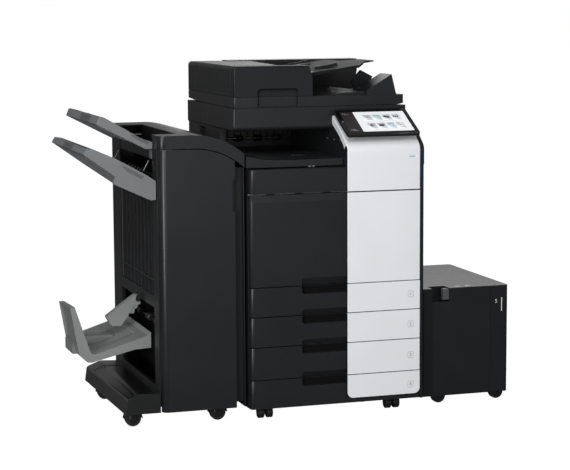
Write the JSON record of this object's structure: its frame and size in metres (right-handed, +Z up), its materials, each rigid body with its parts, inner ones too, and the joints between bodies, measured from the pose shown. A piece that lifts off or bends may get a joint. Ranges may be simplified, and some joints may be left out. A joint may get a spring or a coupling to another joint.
{
  "type": "photocopier",
  "caption": "Floor-standing office copier with paper drawers, tilting touch panel and document feeder, docked to a sheet finisher and a large side paper feeder.",
  "frame": {"origin": "middle of the whole system's footprint, on the floor", "axes": "+X to the right seen from the front, along the row of finisher, copier and side feeder; +Y to the back; +Z up"},
  "size_m": [1.534, 0.765, 1.19],
  "materials": {
    "charcoal_plastic": "moulded charcoal plastic with a fine grain, satin",
    "white_plastic": "moulded white plastic, fine satin",
    "grey_plastic": "moulded mid-grey plastic, satin",
    "light_grey_plastic": "moulded light-grey plastic, satin",
    "black_gloss": "glossy black plastic",
    "screen_glass": "dark cover glass",
    "platen_glass": "clear glass",
    "chassis_steel": "zinc-coated sheet steel",
    "foam_white": "white backing sheet",
    "dark_mechanism": "dark moulded plastic",
    "toner_plastic": "dark bottle plastic",
    "bright_steel": "plated steel",
    "caster_rubber": "black rubber tread",
    "lever_grey": "moulded grey plastic"
  },
  "bodies": {
    "copier": {"base_frame": "chassis_steel", "left_cover": "charcoal_plastic", "right_cover": "charcoal_plastic", "rear_cover": "charcoal_plastic", "power_inlet": "black_gloss", "upper_front_cover": "charcoal_plastic", "white_column": "white_plastic", "scanner_support": "charcoal_plastic", "output_tray": "charcoal_plastic", "levelling_feet": "bright_steel", "toner_bottles": "toner_plastic", "print_engine": "dark_mechanism", "scanner_housing": "charcoal_plastic", "platen_glass": "platen_glass", "panel_arm": "charcoal_plastic"},
    "scan_carriage": {"scan_carriage": "dark_mechanism"},
    "front_door": {"front_door": "charcoal_plastic", "front_door_panel": "white_plastic"},
    "drawer_1": {"drawer_1": "charcoal_plastic", "drawer_1_panel": "white_plastic"},
    "drawer_2": {"drawer_2": "charcoal_plastic", "drawer_2_panel": "white_plastic"},
    "drawer_3": {"drawer_3": "charcoal_plastic", "drawer_3_panel": "white_plastic"},
    "drawer_4": {"drawer_4": "charcoal_plastic", "drawer_4_panel": "white_plastic"},
    "control_panel": {"panel_housing": "black_gloss", "touch_screen": "screen_glass"},
    "document_feeder": {"feeder_base": "charcoal_plastic", "platen_pad": "foam_white", "document_tray": "charcoal_plastic"},
    "feed_cover": {"feed_cover": "charcoal_plastic"},
    "front_guide": {"front_guide": "charcoal_plastic"},
    "rear_guide": {"rear_guide": "charcoal_plastic"},
    "finisher": {"finisher_frame": "charcoal_plastic", "finisher_plates": "dark_mechanism", "finisher_side": "charcoal_plastic", "finisher_top_cover": "charcoal_plastic", "foot_cover": "charcoal_plastic", "upper_tray": "grey_plastic", "booklet_tray": "light_grey_plastic"},
    "finisher_door": {"finisher_door": "charcoal_plastic"},
    "lower_tray": {"lower_tray": "grey_plastic"},
    "booklet_guide": {"booklet_guide": "light_grey_plastic"},
    "finisher_left_wheels": {"finisher_left_wheels": "caster_rubber"},
    "finisher_right_wheels": {"finisher_right_wheels": "caster_rubber"},
    "side_feeder": {"side_feeder_body": "charcoal_plastic"},
    "side_feeder_lid": {"side_feeder_lid": "charcoal_plastic"},
    "release_lever": {"release_lever": "lever_grey"},
    "side_feeder_lift_plate": {"side_feeder_lift_plate": "chassis_steel"},
    "side_feeder_left_wheels": {"side_feeder_left_wheels": "caster_rubber"},
    "side_feeder_right_wheels": {"side_feeder_right_wheels": "caster_rubber"},
    "front_left_caster_fork": {"front_left_caster_fork": "dark_mechanism"},
    "front_left_caster_wheels": {"front_left_caster_wheels": "caster_rubber"},
    "front_right_caster_fork": {"front_right_caster_fork": "dark_mechanism"},
    "front_right_caster_wheels": {"front_right_caster_wheels": "caster_rubber"},
    "rear_left_caster_fork": {"rear_left_caster_fork": "dark_mechanism"},
    "rear_left_caster_wheels": {"rear_left_caster_wheels": "caster_rubber"},
    "rear_right_caster_fork": {"rear_right_caster_fork": "dark_mechanism"},
    "rear_right_caster_wheels": {"rear_right_caster_wheels": "caster_rubber"}
  },
  "joints": [
    {"name": "carriage_slide", "type": "slide", "parent": "copier", "child": "scan_carriage", "axis": [1, 0, 0], "range_m": [0, 0.4]},
    {"name": "front_door_hinge", "type": "hinge", "parent": "copier", "child": "front_door", "pos_m": [-0.188, -0.3465, 0.6], "axis": [0, 0, -1], "range_deg": [0, 90]},
    {"name": "drawer_1_slide", "type": "slide", "parent": "copier", "child": "drawer_1", "axis": [0, -1, 0], "range_m": [0, 0.4]},
    {"name": "drawer_2_slide", "type": "slide", "parent": "copier", "child": "drawer_2", "axis": [0, -1, 0], "range_m": [0, 0.4]},
    {"name": "drawer_3_slide", "type": "slide", "parent": "copier", "child": "drawer_3", "axis": [0, -1, 0], "range_m": [0, 0.4]},
    {"name": "drawer_4_slide", "type": "slide", "parent": "copier", "child": "drawer_4", "axis": [0, -1, 0], "range_m": [0, 0.4]},
    {"name": "panel_tilt", "type": "hinge", "parent": "copier", "child": "control_panel", "pos_m": [0.273, -0.2445, 1.012], "axis": [-1, 0, 0], "range_deg": [0, 20]},
    {"name": "feeder_hinge", "type": "hinge", "parent": "copier", "child": "document_feeder", "pos_m": [0.091, 0.3745, 1.0525], "axis": [-1, 0, 0], "range_deg": [0, 60]},
    {"name": "feed_cover_hinge", "type": "hinge", "parent": "document_feeder", "child": "feed_cover", "pos_m": [-0.203, 0.0565, 1.081], "axis": [0, -1, 0], "range_deg": [0, 70]},
    {"name": "front_guide_slide", "type": "slide", "parent": "document_feeder", "child": "front_guide", "axis": [0, 1, 0], "range_m": [0, 0.075]},
    {"name": "rear_guide_slide", "type": "slide", "parent": "document_feeder", "child": "rear_guide", "axis": [0, 1, 0], "range_m": [-0.075, 0]},
    {"name": "finisher_dock", "type": "slide", "parent": "copier", "child": "finisher", "axis": [-1, 0, 0], "range_m": [0, 0.3]},
    {"name": "finisher_door_hinge", "type": "hinge", "parent": "finisher", "child": "finisher_door", "pos_m": [-0.482, -0.3265, 0.48], "axis": [0, 0, -1], "range_deg": [0, 90]},
    {"name": "lower_tray_lift", "type": "slide", "parent": "finisher", "child": "lower_tray", "axis": [0, 0, -1], "range_m": [0, 0.3]},
    {"name": "booklet_guide_hinge", "type": "hinge", "parent": "finisher", "child": "booklet_guide", "pos_m": [-0.506, -0.0425, 0.392], "axis": [0, 1, 0], "range_deg": [0, 30]},
    {"name": "finisher_left_wheels_spin", "type": "hinge", "parent": "finisher", "child": "finisher_left_wheels", "pos_m": [-0.578, -0.0475, 0.027], "axis": [0, 1, 0], "continuous": true},
    {"name": "finisher_right_wheels_spin", "type": "hinge", "parent": "finisher", "child": "finisher_right_wheels", "pos_m": [-0.286, -0.0475, 0.027], "axis": [0, 1, 0], "continuous": true},
    {"name": "side_feeder_dock", "type": "slide", "parent": "copier", "child": "side_feeder", "axis": [1, 0, 0], "range_m": [0, 0.3]},
    {"name": "side_feeder_lid_hinge", "type": "hinge", "parent": "side_feeder", "child": "side_feeder_lid", "pos_m": [0.641, 0.2075, 0.4095], "axis": [-1, 0, 0], "range_deg": [0, 80]},
    {"name": "release_lever_pivot", "type": "hinge", "parent": "side_feeder", "child": "release_lever", "pos_m": [0.53, -0.2955, 0.381], "axis": [1, 0, 0], "range_deg": [0, 25], "stiffness_Nm_per_rad": 0.6, "springref_deg": -5.73},
    {"name": "lift_plate_slide", "type": "slide", "parent": "side_feeder", "child": "side_feeder_lift_plate", "axis": [0, 0, 1], "range_m": [0, 0.28]},
    {"name": "side_feeder_left_wheels_spin", "type": "hinge", "parent": "side_feeder", "child": "side_feeder_left_wheels", "pos_m": [0.517, -0.05, 0.025], "axis": [0, 1, 0], "continuous": true},
    {"name": "side_feeder_right_wheels_spin", "type": "hinge", "parent": "side_feeder", "child": "side_feeder_right_wheels", "pos_m": [0.737, -0.05, 0.025], "axis": [0, 1, 0], "continuous": true},
    {"name": "front_left_caster_swivel", "type": "hinge", "parent": "copier", "child": "front_left_caster_fork", "pos_m": [-0.127, -0.3025, 0.04], "axis": [0, 0, 1], "continuous": true},
    {"name": "front_left_caster_spin", "type": "hinge", "parent": "front_left_caster_fork", "child": "front_left_caster_wheels", "pos_m": [-0.127, -0.2935, 0.02], "axis": [1, 0, 0], "continuous": true},
    {"name": "front_right_caster_swivel", "type": "hinge", "parent": "copier", "child": "front_right_caster_fork", "pos_m": [0.332, -0.3025, 0.04], "axis": [0, 0, 1], "continuous": true},
    {"name": "front_right_caster_spin", "type": "hinge", "parent": "front_right_caster_fork", "child": "front_right_caster_wheels", "pos_m": [0.332, -0.2935, 0.02], "axis": [1, 0, 0], "continuous": true},
    {"name": "rear_left_caster_swivel", "type": "hinge", "parent": "copier", "child": "rear_left_caster_fork", "pos_m": [-0.127, 0.2575, 0.04], "axis": [0, 0, 1], "continuous": true},
    {"name": "rear_left_caster_spin", "type": "hinge", "parent": "rear_left_caster_fork", "child": "rear_left_caster_wheels", "pos_m": [-0.127, 0.2665, 0.02], "axis": [1, 0, 0], "continuous": true},
    {"name": "rear_right_caster_swivel", "type": "hinge", "parent": "copier", "child": "rear_right_caster_fork", "pos_m": [0.332, 0.2575, 0.04], "axis": [0, 0, 1], "continuous": true},
    {"name": "rear_right_caster_spin", "type": "hinge", "parent": "rear_right_caster_fork", "child": "rear_right_caster_wheels", "pos_m": [0.332, 0.2665, 0.02], "axis": [1, 0, 0], "continuous": true}
  ],
  "couplings": [
    {"joint": "rear_guide_slide", "follows": "front_guide_slide", "ratio": -1}
  ]
}
